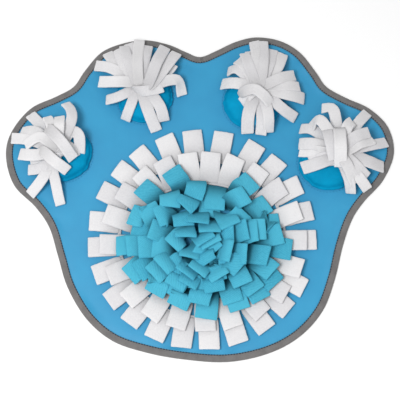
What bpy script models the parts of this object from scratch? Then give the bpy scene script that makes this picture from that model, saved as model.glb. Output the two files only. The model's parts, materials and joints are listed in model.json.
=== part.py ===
"""Paw-shaped snuffle mat: a bound cloth mat with nested rows of fleece flaps and four toe bunches.

Metres, +Z up, +Y towards the toes. The origin is the middle of the mat's underside.
"""
import math

import bmesh
import bpy
from mathutils import Vector

MM = 0.001

# Clearance between neighbouring pieces
GAP = 0.35 * MM

# Base mat and its binding
MAT_THICKNESS = 4.0 * MM
MAT_SHOULDER = 1.8 * MM
BINDING_WIDTH = 11.0 * MM
BINDING_CLOTH = 0.8 * MM
STEPS_PER_SPAN = 2

# Fleece
FLEECE = 2.8 * MM
FLAP_LENGTH = 47.0 * MM
FLAP_WIDTH = {"white": 30.5 * MM, "teal": 28.5 * MM}
FLAP_STEPS = 3
STRIP_WIDTH = 18.5 * MM
STRIP_ROOT_WIDTH = 12.0 * MM
STRIP_FLARE = 15.0 * MM
STRIP_STEPS = 4

# The sewn strip that a row of flaps grows from
SEAM_WIDTH = 5.0 * MM
SEAM_HEIGHT = 3.4 * MM
SEAM_PITCH = 20.0 * MM
SEAM_LEAST_STEPS = 14

# Toe pouches and the knots on top of them
POUCH_HEIGHT = 21.0 * MM
POUCH_STEPS = 24
POUCH_PLEATS = 8
POUCH_PLEAT_DEPTH = 0.035
KNOT_RADIUS = 10.0 * MM
KNOT_HEIGHT = 11.0 * MM

# Heights that follow from the sizes above
ON_MAT = MAT_THICKNESS + GAP
SEAM_MIDDLE = ON_MAT + SEAM_HEIGHT / 2
KNOT_BASE = ON_MAT + POUCH_HEIGHT + GAP
KNOT_MIDDLE = KNOT_BASE + KNOT_HEIGHT / 2

# Outer edge of the paw in millimetres, counter-clockwise from the notch between the inner toes
PAW_OUTLINE = (
    # x, y
    (0, 226), (-24, 235), (-50, 247), (-86, 255), (-122, 250), (-158, 234), (-184, 202),
    (-201, 175), (-229, 158), (-268, 138), (-297, 98), (-303, 58), (-288, 12), (-254, -22),
    (-231, -55), (-216, -100), (-200, -148), (-170, -196), (-130, -229), (-80, -246),
    (-25, -256), (40, -260), (100, -248), (148, -223), (184, -184), (204, -136), (218, -84),
    (234, -42), (254, -13), (284, 20), (303, 64), (296, 107), (268, 138), (232, 156),
    (201, 175), (185, 200), (160, 234), (128, 254), (90, 260), (57, 252), (27, 237),
)

# Section of the mat, and of the binding folded over its edge
MAT_SECTION = (
    # inset from the outline, height
    (BINDING_WIDTH + MAT_SHOULDER, 0.0),
    (BINDING_WIDTH + GAP, BINDING_CLOTH + GAP),
    (BINDING_CLOTH + GAP, BINDING_CLOTH + GAP),
    (BINDING_CLOTH + GAP, MAT_THICKNESS - BINDING_CLOTH - GAP),
    (BINDING_WIDTH + GAP, MAT_THICKNESS - BINDING_CLOTH - GAP),
    (BINDING_WIDTH + MAT_SHOULDER, MAT_THICKNESS),
)
BINDING_SECTION = (
    # inset from the outline, height
    (BINDING_WIDTH, 0.0),
    (0.0, 0.0),
    (0.0, MAT_THICKNESS),
    (BINDING_WIDTH, MAT_THICKNESS),
    (BINDING_WIDTH, MAT_THICKNESS - BINDING_CLOTH),
    (BINDING_CLOTH, MAT_THICKNESS - BINDING_CLOTH),
    (BINDING_CLOTH, BINDING_CLOTH),
    (BINDING_WIDTH, BINDING_CLOTH),
)

# Rows of flaps, outermost first. Centre and radii of the sewn oval in millimetres, the bend of
# a flap along its length in degrees, and the flaps themselves in degrees: bearing of the root,
# lean above the mat, and turn of the tip about the upright. A lean past 90 goes inwards.
ROWS = (
    {
        "node": "white_row_1", "cloth": "white", "centre": (3, -71), "radii": (126, 123), "bend": 14,
        "flaps": (
            # at, lean, turn
            (358, 5, 4), (14, 6, -3), (29, 5, -4), (45, 5, 3), (60, 6, -2), (78, 6, 2), (95, 5, 2),
            (110, 6, 4), (126, 5, 6), (140, 7, 4), (155, 5, -2), (171, 5, 6), (186, 6, -4),
            (200, 5, 2), (215, 6, 4), (230, 6, 2), (245, 5, 0), (259, 6, 3), (274, 5, -2),
            (289, 6, -3), (304, 5, 4), (319, 6, 0), (333, 5, -2),
        ),
    },
    {
        "node": "white_row_2", "cloth": "white", "centre": (5, -77), "radii": (110, 92), "bend": 12,
        "flaps": (
            # at, lean, turn
            (0, 17, -3), (16, 16, 3), (32, 15, -3), (49, 13, 3), (67, 15, -2), (84, 13, 1),
            (101, 16, -1), (118, 13, 2), (133, 15, 3), (151, 14, 3), (167, 15, -2), (184, 14, -4),
            (200, 15, 3), (217, 14, 3), (234, 14, 2), (252, 13, -2), (271, 14, 3), (290, 13, -3),
            (309, 14, 2), (327, 15, 2), (344, 17, 0),
        ),
    },
    {
        "node": "teal_row_1", "cloth": "teal", "centre": (6, -75.5), "radii": (89, 79.5), "bend": 26,
        "flaps": (
            # at, lean, turn
            (30, 25, 3), (54, 25, -5), (74, 144, 16), (98, 141, -30), (114, 25, 4), (143, 25, -4),
            (162, 25, -3), (183, 23, 0), (204, 25, 12), (225, 25, 10), (249, 25, -3), (274, 23, -8),
            (298, 23, -8), (319, 25, -10), (339, 25, -10), (359, 25, -3),
        ),
    },
    {
        "node": "teal_row_2", "cloth": "teal", "centre": (7, -80), "radii": (75, 62), "bend": 36,
        "flaps": (
            # at, lean, turn
            (6, 32, 6), (28, 34, 2), (50, 36, -8), (83, 134, 12), (116, 133, -32), (135, 37, 2),
            (157, 34, -14), (182, 32, 2), (207, 33, 10), (238, 32, 0), (267, 33, -8),
            (292, 32, -10), (316, 33, -12), (340, 33, -14),
        ),
    },
    {
        "node": "teal_row_3", "cloth": "teal", "centre": (7, -82), "radii": (61, 50), "bend": 42,
        "flaps": (
            # at, lean, turn
            (14, 40, -8), (46, 44, -6), (81, 130, 12), (122, 129, -38), (149, 44, 12),
            (180, 40, 0), (211, 40, 10), (244, 42, 0), (281, 42, -3), (316, 41, -12),
            (345, 40, 0),
        ),
    },
    {
        "node": "teal_row_4", "cloth": "teal", "centre": (7, -83), "radii": (47, 39), "bend": 46,
        "flaps": (
            # at, lean, turn
            (10, 46, -6), (42, 48, -8), (71, 126, 13), (127, 125, -42), (168, 45, -8),
            (210, 46, 10), (250, 47, -8), (290, 45, 6), (330, 44, 0),
        ),
    },
    {
        "node": "teal_row_5", "cloth": "teal", "centre": (7, -84), "radii": (33, 29), "bend": 50,
        "flaps": (
            # at, lean, turn
            (26, 51, -8), (96, 125, -2), (172, 52, 8), (234, 52, -2), (288, 50, 4), (338, 51, 6),
        ),
    },
    {
        "node": "teal_row_6", "cloth": "teal", "centre": (7, -85), "radii": (19, 18), "bend": 54,
        "flaps": (
            # at, lean, turn
            (2, 58, 6), (100, 120, 0), (198, 57, 14), (280, 57, -6),
        ),
    },
    {
        "node": "teal_row_7", "cloth": "teal", "centre": (7, -86), "radii": (6, 4), "bend": 56,
        "flaps": (
            # at, lean, turn
            (92, 112, 4), (268, 64, 4),
        ),
    },
)

# Toes from left to right. Centre of the pouch, its radius and the centre of the knot in
# millimetres, the bearing of its first pleat, and the strips of its bunch: bearing, rise at the
# knot and fall at the tip in degrees, length in millimetres, and sideways sweep in degrees.
TOES = (
    {
        "number": 1, "centre": (-213, 63), "radius": 45, "knot": (-217, 58), "pleat": 10,
        "strips": (
            # at, rise, fall, length, sweep
            (84, 16, 10, 84, 2), (130, 16, 18, 84, 0), (166, 12, 22, 82, 2), (206, 14, 30, 66, 6),
            (238, 14, 34, 80, -8), (274, 16, 40, 86, 8), (318, 24, 46, 50, 8), (40, 24, 40, 54, 8),
            (106, 42, 30, 82, 4), (148, 42, 38, 78, 0), (188, 40, 44, 74, -4), (2, 38, 46, 50, 12),
            (60, 46, 54, 60, -8), (256, 44, 52, 74, 6), (296, 48, 52, 58, 6), (20, 66, 46, 44, 12),
            (220, 66, 48, 60, 0), (128, 68, 32, 64, 8),
        ),
    },
    {
        "number": 2, "centre": (-87, 157), "radius": 44, "knot": (-94, 162), "pleat": 32,
        "strips": (
            # at, rise, fall, length, sweep
            (150, 16, 14, 84, 0), (180, 14, 30, 68, 4), (214, 12, 34, 62, 2), (250, 14, 40, 62, -2),
            (290, 12, 36, 77, 4), (322, 16, 30, 76, -6), (2, 18, 30, 78, -26), (42, 18, 14, 84, 2),
            (76, 16, 10, 84, 6), (112, 16, 10, 84, 0), (130, 42, 26, 84, -4), (94, 44, 24, 86, 2),
            (58, 42, 26, 86, 0), (306, 44, 50, 70, 2), (22, 44, 50, 70, -6), (168, 42, 48, 70, 2),
            (230, 52, 50, 54, 0), (76, 68, 26, 76, 6), (112, 68, 26, 76, 2),
        ),
    },
    {
        "number": 3, "centre": (82, 147), "radius": 45, "knot": (87, 155), "pleat": 5,
        "strips": (
            # at, rise, fall, length, sweep
            (92, 18, 8, 90, 0), (60, 16, 16, 82, 4), (24, 16, 26, 72, 0), (354, 14, 28, 78, -2),
            (322, 14, 34, 78, 4), (284, 12, 36, 76, 0), (254, 14, 36, 74, 0), (214, 20, 34, 54, 0),
            (168, 14, 34, 62, 6), (128, 18, 26, 70, 0), (76, 42, 24, 90, 2), (42, 42, 34, 82, 4),
            (8, 44, 40, 78, 0), (108, 44, 36, 78, 0), (148, 42, 50, 66, 0), (270, 44, 54, 72, 0),
            (304, 44, 48, 66, 2), (58, 68, 30, 70, 4), (190, 62, 54, 50, 6),
        ),
    },
    {
        "number": 4, "centre": (199, 49), "radius": 46, "knot": (209, 56), "pleat": 20,
        "strips": (
            # at, rise, fall, length, sweep
            (50, 16, 14, 90, 0), (14, 14, 24, 84, 4), (342, 14, 34, 78, 6), (308, 12, 36, 80, 2),
            (276, 14, 40, 70, -4), (208, 14, 36, 68, 4), (174, 16, 34, 64, 0), (140, 16, 30, 72, -4),
            (90, 18, 14, 80, 4), (30, 42, 36, 82, 0), (358, 42, 46, 72, 0), (70, 44, 44, 74, 0),
            (114, 42, 46, 76, 6), (158, 44, 50, 64, 4), (192, 48, 46, 60, 2), (326, 44, 52, 66, 0),
            (96, 68, 34, 62, 6), (240, 66, 46, 58, 0),
        ),
    },
)
POUCH_PROFILE = (
    # share of the radius, share of the height
    (0.94, 0.0),
    (1.0, 0.14),
    (0.97, 0.42),
    (0.82, 0.74),
    (0.55, 0.93),
    (0.30, 1.0),
)
KNOT_PROFILE = (
    # share of the radius, share of the height
    (0.55, 0.0),
    (0.95, 0.28),
    (0.95, 0.68),
    (0.50, 1.0),
)
KNOT_STEPS = 10

COLOURS = {
    # red, green, blue in linear light
    "mat": (0.056, 0.371, 0.658),
    "binding": (0.184, 0.184, 0.196),
    "white": (0.78, 0.78, 0.80),
    "teal": (0.066, 0.434, 0.617),
    "pouch": (0.008, 0.323, 0.571),
}


def clear_scene():
    for item in list(bpy.data.objects):
        bpy.data.objects.remove(item, do_unlink=True)


def make_collection(name):
    group = bpy.data.collections.new(name)
    bpy.context.scene.collection.children.link(group)
    return group


def make_material(name, roughness):
    cloth = bpy.data.materials.new(name)
    cloth.use_nodes = True
    shader = cloth.node_tree.nodes["Principled BSDF"]
    shader.inputs["Base Color"].default_value = (*COLOURS[name], 1.0)
    shader.inputs["Roughness"].default_value = roughness
    shader.inputs["Metallic"].default_value = 0.0
    return cloth


def make_object(name, points, faces, group, cloth=None):
    mesh = bpy.data.meshes.new(name)
    mesh.from_pydata([tuple(point) for point in points], [], faces)
    work = bmesh.new()
    work.from_mesh(mesh)
    bmesh.ops.recalc_face_normals(work, faces=work.faces)
    work.to_mesh(mesh)
    work.free()
    piece = bpy.data.objects.new(name, mesh)
    group.objects.link(piece)
    if cloth is not None:
        mesh.materials.append(cloth)
    return piece


def on_bearing(degrees):
    angle = math.radians(degrees)
    return Vector((math.cos(angle), math.sin(angle), 0.0))


def smooth_outline():
    """A Catmull-Rom curve through the paw's points, centred on its own box."""
    knots = [Vector(point) * MM for point in PAW_OUTLINE]
    count = len(knots)
    curve = []
    for index in range(count):
        before, start, end, after = (knots[(index + step) % count] for step in (-1, 0, 1, 2))
        for step in range(STEPS_PER_SPAN):
            t = step / STEPS_PER_SPAN
            curve.append(
                0.5 * (2 * start + (end - before) * t
                       + (2 * before - 5 * start + 4 * end - after) * t ** 2
                       + (3 * start - before - 3 * end + after) * t ** 3))
    low = Vector((min(p.x for p in curve), min(p.y for p in curve)))
    high = Vector((max(p.x for p in curve), max(p.y for p in curve)))
    return [point - (low + high) / 2 for point in curve]


def inset_ring(outline, inset, height):
    """The outline moved inwards by inset, as points at one height."""
    ring = []
    count = len(outline)
    for index, point in enumerate(outline):
        along = (outline[(index + 1) % count] - outline[index - 1]).normalized()
        ring.append(Vector((point.x - along.y * inset, point.y + along.x * inset, height)))
    return ring


def loft(rings, around):
    """Skin rings of equal length. Around joins the last ring to the first, else both are capped."""
    count = len(rings[0])
    points = [point for ring in rings for point in ring]
    faces = []
    for row in range(len(rings) if around else len(rings) - 1):
        here = row * count
        there = (row + 1) % len(rings) * count
        for index in range(count):
            beside = (index + 1) % count
            faces.append((here + index, here + beside, there + beside, there + index))
    if not around:
        faces.append(tuple(range(count)))
        faces.append(tuple(range(len(points) - count, len(points))))
    return points, faces


def ribbon(stations, widths):
    """A strip of fleece of four sides along stations of centre, across and normal."""
    rings = []
    for (centre, across, normal), width in zip(stations, widths):
        side = across * width / 2
        face = normal * FLEECE / 2
        rings.append([centre - side - face, centre + side - face,
                      centre + side + face, centre - side + face])
    return loft(rings, around=False)


def join_shapes(shapes):
    points = []
    faces = []
    for shape_points, shape_faces in shapes:
        start = len(points)
        points.extend(shape_points)
        faces.extend(tuple(start + index for index in face) for face in shape_faces)
    return points, faces


def oval_point(row, at):
    """The point of a row's sewn oval that lies on bearing at from its centre."""
    out = on_bearing(at)
    reach = 1.0 / math.hypot(out.x / row["radii"][0], out.y / row["radii"][1])
    centre = Vector((*row["centre"], 0.0))
    return (centre + out * reach) * MM + Vector((0.0, 0.0, SEAM_MIDDLE))


def square_to_seam(row, at):
    """The bearing square to a row's oval where it crosses bearing at, within 90 degrees of it."""
    out = on_bearing(at)
    along = row["radii"][0] / row["radii"][1]
    square = math.degrees(math.atan2(out.y * along, out.x / along))
    return at + (square - at + 180.0) % 360.0 - 180.0


def flap(row, at, lean, turn):
    """One flap: square to the seam and steep at its root, bent over and turned at its tip."""
    stations = []
    centre = oval_point(row, at)
    square = square_to_seam(row, at)
    bend = row["bend"] if lean < 90 else -row["bend"]
    step = FLAP_LENGTH / FLAP_STEPS
    for index in range(FLAP_STEPS + 1):
        share = index / FLAP_STEPS
        heading = square + (at + turn - square) * share
        slope = math.radians(lean + bend * (0.5 - share))
        out = on_bearing(heading)
        along = out * math.cos(slope) + Vector((0.0, 0.0, math.sin(slope)))
        across = on_bearing(heading + 90)
        stations.append((centre.copy(), across, along.cross(across)))
        middle = math.radians(lean + bend * (0.5 - share - 0.5 / FLAP_STEPS))
        centre += (out * math.cos(middle) + Vector((0.0, 0.0, math.sin(middle)))) * step
    return ribbon(stations, [FLAP_WIDTH[row["cloth"]]] * len(stations))


def seam_ring(row):
    """The narrow strip, sewn down in an oval, that a row's flaps are cut from."""
    around = math.tau * math.hypot(*row["radii"]) / math.sqrt(2) * MM
    steps = max(SEAM_LEAST_STEPS, round(around / SEAM_PITCH))
    corners = ((-0.5, -0.5), (0.5, -0.5), (0.5, 0.5), (-0.5, 0.5))
    rings = []
    for across, up in corners:
        ring = []
        for index in range(steps):
            at = 360.0 * index / steps
            out = on_bearing(at) * SEAM_WIDTH * across
            ring.append(oval_point(row, at) + out + Vector((0.0, 0.0, SEAM_HEIGHT * up)))
        rings.append(ring)
    return loft(rings, around=True)


def strip(toe, at, rise, fall, length, sweep):
    """One strip of a bunch: pinched at the knot, rising, then drooping to its tip."""
    stations = []
    widths = []
    step = length * MM / STRIP_STEPS
    centre = Vector((*toe["knot"], 0.0)) * MM + Vector((0.0, 0.0, KNOT_MIDDLE))
    for index in range(STRIP_STEPS + 1):
        share = index / STRIP_STEPS
        heading = at + sweep * share
        slope = math.radians(rise - (rise + fall) * share)
        out = on_bearing(heading)
        along = out * math.cos(slope) + Vector((0.0, 0.0, math.sin(slope)))
        across = on_bearing(heading + 90)
        stations.append((centre.copy(), across, along.cross(across)))
        flare = min(1.0, step * index / STRIP_FLARE)
        widths.append(STRIP_ROOT_WIDTH + (STRIP_WIDTH - STRIP_ROOT_WIDTH) * flare)
        middle = math.radians(rise - (rise + fall) * (share + 0.5 / STRIP_STEPS))
        centre += (out * math.cos(middle) + Vector((0.0, 0.0, math.sin(middle)))) * step
    return ribbon(stations, widths)


def turned(profile, centre, radius, base, height, steps, pleats=0, first=0.0, depth=0.0):
    """A low round form on a profile, its side drawn into soft pleats."""
    rings = []
    for reach, up in profile:
        ring = []
        for index in range(steps):
            at = 360.0 * index / steps
            wave = depth * math.cos(math.radians((at - first) * pleats)) if pleats else 0.0
            out = on_bearing(at) * radius * MM * (reach + wave)
            ring.append(Vector((*centre, 0.0)) * MM + out + Vector((0.0, 0.0, base + height * up)))
        rings.append(ring)
    return loft(rings, around=False)


def fuse(piece, shapes, cutters):
    """Join strands to the piece that holds their roots, as one closed body."""
    strands = make_object(piece.name + "_strands", *join_shapes(shapes), cutters)
    strands.hide_render = True
    strands.display_type = "WIRE"
    union = piece.modifiers.new("Strands", "BOOLEAN")
    union.operation = "UNION"
    union.object = strands
    union.solver = "EXACT"
    union.use_self = True


def build_mat(model, cloth):
    outline = smooth_outline()
    mat = [inset_ring(outline, inset, height) for inset, height in MAT_SECTION]
    make_object("mat", *loft(mat, around=False), model, cloth["mat"])
    tape = [inset_ring(outline, inset, height) for inset, height in BINDING_SECTION]
    make_object("binding", *loft(tape, around=True), model, cloth["binding"])


def build_row(row, model, cutters, cloth):
    seam = make_object(row["node"], *seam_ring(row), model, cloth[row["cloth"]])
    fuse(seam, [flap(row, *entry) for entry in row["flaps"]], cutters)


def build_toe(toe, model, cutters, cloth):
    pouch = turned(POUCH_PROFILE, toe["centre"], toe["radius"], ON_MAT, POUCH_HEIGHT,
                   POUCH_STEPS, POUCH_PLEATS, toe["pleat"], POUCH_PLEAT_DEPTH)
    make_object("pouch_%d" % toe["number"], *pouch, model, cloth["pouch"])
    knot = turned(KNOT_PROFILE, toe["knot"], KNOT_RADIUS / MM, KNOT_BASE, KNOT_HEIGHT, KNOT_STEPS)
    bunch = make_object("pompom_%d" % toe["number"], *knot, model, cloth["white"])
    fuse(bunch, [strip(toe, *entry) for entry in toe["strips"]], cutters)


def main():
    clear_scene()
    model = make_collection("snuffle_mat")
    cutters = make_collection("strands")
    cloth = {name: make_material(name, 0.9) for name in COLOURS}
    build_mat(model, cloth)
    for row in ROWS:
        build_row(row, model, cutters, cloth)
    for toe in TOES:
        build_toe(toe, model, cutters, cloth)


main()
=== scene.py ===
import json
import math
import random

import bmesh
import bpy
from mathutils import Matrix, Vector, noise

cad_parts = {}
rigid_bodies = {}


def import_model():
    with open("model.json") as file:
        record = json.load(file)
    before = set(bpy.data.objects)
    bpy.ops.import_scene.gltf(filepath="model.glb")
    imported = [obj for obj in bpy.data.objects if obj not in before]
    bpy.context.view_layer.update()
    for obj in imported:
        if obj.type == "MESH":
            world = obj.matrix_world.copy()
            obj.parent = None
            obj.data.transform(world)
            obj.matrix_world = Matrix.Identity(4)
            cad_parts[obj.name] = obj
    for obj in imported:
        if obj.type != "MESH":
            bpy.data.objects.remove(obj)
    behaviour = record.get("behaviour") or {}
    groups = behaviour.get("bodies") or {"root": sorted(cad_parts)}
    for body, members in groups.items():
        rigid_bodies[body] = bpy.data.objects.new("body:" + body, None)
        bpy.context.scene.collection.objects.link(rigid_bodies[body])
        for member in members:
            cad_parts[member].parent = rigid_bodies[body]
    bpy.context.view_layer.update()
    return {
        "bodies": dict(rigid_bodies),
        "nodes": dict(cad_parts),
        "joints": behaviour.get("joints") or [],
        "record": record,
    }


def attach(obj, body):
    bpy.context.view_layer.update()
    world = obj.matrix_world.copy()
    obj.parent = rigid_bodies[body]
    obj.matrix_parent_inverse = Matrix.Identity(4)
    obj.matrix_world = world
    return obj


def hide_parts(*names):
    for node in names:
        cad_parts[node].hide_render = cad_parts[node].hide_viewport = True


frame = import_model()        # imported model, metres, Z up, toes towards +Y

mm = 0.001
upward = Vector((0, 0, 1))
dice = random.Random(11)
noise.seed_set(11)       # its vectors start from the clock otherwise
bpy.context.scene.view_settings.view_transform = "Standard"

cameraSettings = {
    "target": (0.0, -0.0105, 0.0), "elevation": 75.0, "distance": 1.6,    # metres and degrees
    "lens": 93.12, "sensor": 36.0, "photoSide": 400,                      # millimetres and pixels
}
cameraTilt = math.radians(cameraSettings["elevation"])
cameraPlace = (Vector(cameraSettings["target"])
               + Vector((0, -math.cos(cameraTilt), math.sin(cameraTilt))) * cameraSettings["distance"])


def buildCamera():
    s = cameraSettings
    data = bpy.data.cameras.new("photoCamera")
    data.lens, data.sensor_width = s["lens"], s["sensor"]
    camera = bpy.data.objects.new("photoCamera", data)
    camera.location = cameraPlace
    camera.rotation_euler = (Vector(s["target"]) - cameraPlace).to_track_quat("-Z", "Y").to_euler()
    bpy.context.scene.collection.objects.link(camera)
    bpy.context.scene.camera = camera


buildCamera()
print("camera set")


def photoPlace(x, y, height):
    # the point at this height above the floor that shows at x, y of the square photo
    s = cameraSettings
    middle, cosine, sine = s["photoSide"] / 2, math.cos(cameraTilt), math.sin(cameraTilt)
    right, above = (v * s["sensor"] / s["lens"] / s["photoSide"] for v in (x - middle, middle - y))
    ray = Vector((right, cosine + above * sine, above * cosine - sine))
    return cameraPlace + ray * ((height * mm - cameraPlace.z) / ray.z)


def hexToLinear(code):
    channels = [int(code[i:i + 2], 16) / 255 for i in (1, 3, 5)]
    return tuple(c / 12.92 if c <= 0.04045 else ((c + 0.055) / 1.055) ** 2.4 for c in channels) + (1.0,)


def darker(colour, share):
    return tuple(share * c for c in colour[:3]) + (1.0,)


def addNode(tree, kind, inputs=None, **settings):
    node = tree.nodes.new(kind)
    for name, value in settings.items():
        setattr(node, name, value)
    for socket, value in (inputs or {}).items():
        if isinstance(value, bpy.types.NodeSocket):
            tree.links.new(value, node.inputs[socket])
        else:
            node.inputs[socket].default_value = value
    return node


def newMaterial(name):
    material = bpy.data.materials.new(name)
    material.use_nodes = True
    material.node_tree.nodes.clear()
    return material, material.node_tree


def bandScale(pitch):
    # a wave texture draws a band every tau / 20, or 0.31416, of its scaled coordinate
    return 0.31416 / (pitch * mm)


def plainWeave(tree, place, look):
    # warp and weft: two waves that cross, high where both threads are
    yarn = {"Vector": place, "Scale": bandScale(look["threadPitch"]),
            "Distortion": look["threadWander"], "Detail": look["threadDetail"]}
    warp, weft = (addNode(tree, "ShaderNodeTexWave", yarn, wave_type="BANDS", bands_direction=way)
                  for way in ("X", "Y"))
    both = {0: warp.outputs["Fac"], 1: weft.outputs["Fac"]}
    return addNode(tree, "ShaderNodeMath", both, operation="MULTIPLY").outputs[0]


def finishCloth(tree, look, tone, height, wear, paintedShade=None):
    # how every cloth ends: its dyes mixed by tone, its relief, its roughness by wear, its shader
    low, high = look["toneRange"]
    share = addNode(tree, "ShaderNodeMapRange", {"Value": tone, "From Min": low, "From Max": high})
    deep, full = hexToLinear(look["deepColour"]), hexToLinear(look["colour"])
    colour = addNode(tree, "ShaderNodeMix", {"Factor": share.outputs["Result"], 6: deep, 7: full},
                     data_type="RGBA")
    if paintedShade:                                             # painted shade towards the seam and the strands' roots
        paintedShadeMix = {"Factor": paintedShade, 6: colour.outputs[2], 7: darker(deep, look["paintedShadeTone"])}
        colour = addNode(tree, "ShaderNodeMix", paintedShadeMix, data_type="RGBA")
    bump = addNode(tree, "ShaderNodeBump", {"Height": height, "Distance": look["depth"] * mm,
                                            "Strength": look["relief"]})
    low, high = look["roughness"]
    rough = addNode(tree, "ShaderNodeMapRange", {"Value": wear, "To Min": low, "To Max": high})
    shader = addNode(tree, "ShaderNodeBsdfPrincipled",
                     {"Base Color": colour.outputs[2], "Normal": bump.outputs["Normal"],
                      "Roughness": rough.outputs["Result"], **look["shader"]})
    addNode(tree, "ShaderNodeOutputMaterial", {"Surface": shader.outputs["BSDF"]})


# Polyester oxford cloth: a dense basket weave of filament yarn, dyed in the piece. Matt, even
# colour with a soft sheen at low angles and a fine grid that only shows close up.
oxfordCloth = {
    "colour": "#2899c5", "deepColour": "#1c88b6", "toneRange": (0.3, 1.0), "cloudSize": 70,
    "threadPitch": 1.1,                                    # real 0.6 mm, drawn coarser to show
    "threadWander": 0.4, "threadDetail": 1.0, "threadTone": 0.35, "depth": 0.12, "relief": 0.6,
    "roughness": (0.5, 0.62),
    "shader": {"Metallic": 0.0, "IOR": 1.5, "Specular IOR Level": 0.5, "Sheen Weight": 0.12,
               "Sheen Roughness": 0.6},
}


def oxfordMaterial():
    look = oxfordCloth
    material, tree = newMaterial("blue polyester oxford cloth")
    place = addNode(tree, "ShaderNodeTexCoord").outputs["Object"]
    weave = plainWeave(tree, place, look)
    cloud = addNode(tree, "ShaderNodeTexNoise", {"Vector": place, "Scale": 1 / (look["cloudSize"] * mm),
                                                 "Detail": 3.0, "Roughness": 0.55}).outputs["Fac"]
    tone = addNode(tree, "ShaderNodeMath", {0: weave, 1: look["threadTone"], 2: cloud},
                   operation="MULTIPLY_ADD").outputs[0]
    finishCloth(tree, look, tone, weave, cloud)
    return material


# Polypropylene binding tape, woven narrow with ribs across it, so it has a fine twill look
# and a slight gloss on each rib.
bindingTape = {
    "colour": "#7b7978", "deepColour": "#5a5858", "toneRange": (0.35, 1.15), "wearSize": 11.11,
    "ribPitch": 1.5,                                       # real 0.8 mm, drawn coarser to show
    "ribSlant": 24, "ribWander": 0.3, "ribTone": 0.7, "depth": 0.25, "relief": 1.0,
    "roughness": (0.62, 0.78),
    "shader": {"Metallic": 0.0, "IOR": 1.49, "Specular IOR Level": 0.35, "Sheen Weight": 0.15},
}


def slantedRibs(tree, look):
    # ribs drawn on the cloth's own layout, so that they turn with the strand or the tape
    layout = addNode(tree, "ShaderNodeUVMap", uv_map="clothLayout").outputs["UV"]
    slanted = addNode(tree, "ShaderNodeMapping",
                      {"Vector": layout, "Rotation": (0, 0, math.radians(look["ribSlant"]))})
    ribs = {"Vector": slanted.outputs["Vector"], "Scale": bandScale(look["ribPitch"]),
            "Distortion": look["ribWander"], "Detail": 2.0}
    return addNode(tree, "ShaderNodeTexWave", ribs, wave_type="BANDS", bands_direction="X").outputs["Fac"]


def tapeMaterial():
    look = bindingTape
    material, tree = newMaterial("grey ribbed binding tape")
    ribs = slantedRibs(tree, look)
    place = addNode(tree, "ShaderNodeTexCoord").outputs["Object"]
    wear = addNode(tree, "ShaderNodeTexNoise", {"Vector": place, "Scale": 1 / (look["wearSize"] * mm),
                                                "Detail": 3.0}).outputs["Fac"]
    tone = addNode(tree, "ShaderNodeMath", {0: ribs, 1: look["ribTone"], 2: wear},
                   operation="MULTIPLY_ADD").outputs[0]
    finishCloth(tree, look, tone, ribs, wear)
    return material


# Polar fleece: a knit brushed and sheared on both faces, so it is covered in tiny clumps of
# fibre. It scatters light softly, has no gloss, and its edges look pale and blurred. Towards
# the seam and the roots of the strands a painted shade darkens the colour, where the rows crowd.
fleeceKnit = {
    "toneRange": (0.55, 1.5), "fibreTone": 0.6, "strandTone": 0.6,
    "ribPitch": 2.4,                                       # real 1.2 mm, drawn coarser to show
    # the last number here sets how dark the painted shade at seams and strand roots gets
    "ribSlant": 38, "ribWander": 2.5, "relief": 0.8, "roughness": (0.88, 1.0), "paintedShadeTone": 0.22,
}
fleeceShader = {"Metallic": 0.0, "IOR": 1.5, "Specular IOR Level": 0.1, "Sheen Roughness": 0.45,
                "Subsurface Radius": (1.0, 1.0, 1.0), "Subsurface Scale": 1.5 * mm}
# each colour takes its own share of that painted shade
whiteFleece = {
    **fleeceKnit, "name": "white polar fleece", "colour": "#dddcdd", "deepColour": "#cbcacd",
    "paintedShadeStrength": 0.3, "ribs": 0.12, "clump": 2.4, "fibre": 0.8, "depth": 0.6,
    "shader": {**fleeceShader, "Sheen Weight": 0.3, "Sheen Tint": hexToLinear("#ffffff"),
               "Subsurface Weight": 0.12},
}
tealFleece = {
    **fleeceKnit, "name": "blue-green polar fleece", "colour": "#4fb0ca", "deepColour": "#3795b3",
    "paintedShadeStrength": 1.0, "ribs": 0.5, "clump": 3.0, "fibre": 1.3, "depth": 0.9,
    "shader": {**fleeceShader, "Sheen Weight": 0.45, "Sheen Tint": hexToLinear("#62d3ee"),
               "Subsurface Weight": 0.03},
}


def fleeceMaterial(look):
    material, tree = newMaterial(look["name"])
    place = addNode(tree, "ShaderNodeTexCoord").outputs["Object"]
    clumps = addNode(tree, "ShaderNodeTexNoise", {"Vector": place, "Scale": 1 / (look["clump"] * mm),
                                                  "Detail": 2.0, "Roughness": 0.6}).outputs["Fac"]
    fibres = addNode(tree, "ShaderNodeTexNoise", {"Vector": place, "Scale": 1 / (look["fibre"] * mm),
                                                  "Detail": 3.0, "Roughness": 0.7}).outputs["Fac"]
    pile = addNode(tree, "ShaderNodeMath", {0: fibres, 1: look["fibreTone"], 2: clumps},
                   operation="MULTIPLY_ADD").outputs[0]
    height = addNode(tree, "ShaderNodeMath", {0: slantedRibs(tree, look), 1: look["ribs"], 2: pile},
                     operation="MULTIPLY_ADD").outputs[0]
    strand = addNode(tree, "ShaderNodeAttribute", attribute_name="strandTone").outputs["Fac"]
    tone = addNode(tree, "ShaderNodeMath", {0: strand, 1: look["strandTone"], 2: height},
                   operation="MULTIPLY_ADD").outputs[0]
    # painted shade: a point attribute darkens the colour towards seams and strand roots
    paintedShade = addNode(tree, "ShaderNodeAttribute", attribute_name="paintedRootShade").outputs["Fac"]
    paintedShadeAmount = addNode(tree, "ShaderNodeMath", {0: paintedShade, 1: look["paintedShadeStrength"]},
                   operation="MULTIPLY").outputs[0]
    finishCloth(tree, look, tone, height, pile, paintedShadeAmount)
    return material


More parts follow.
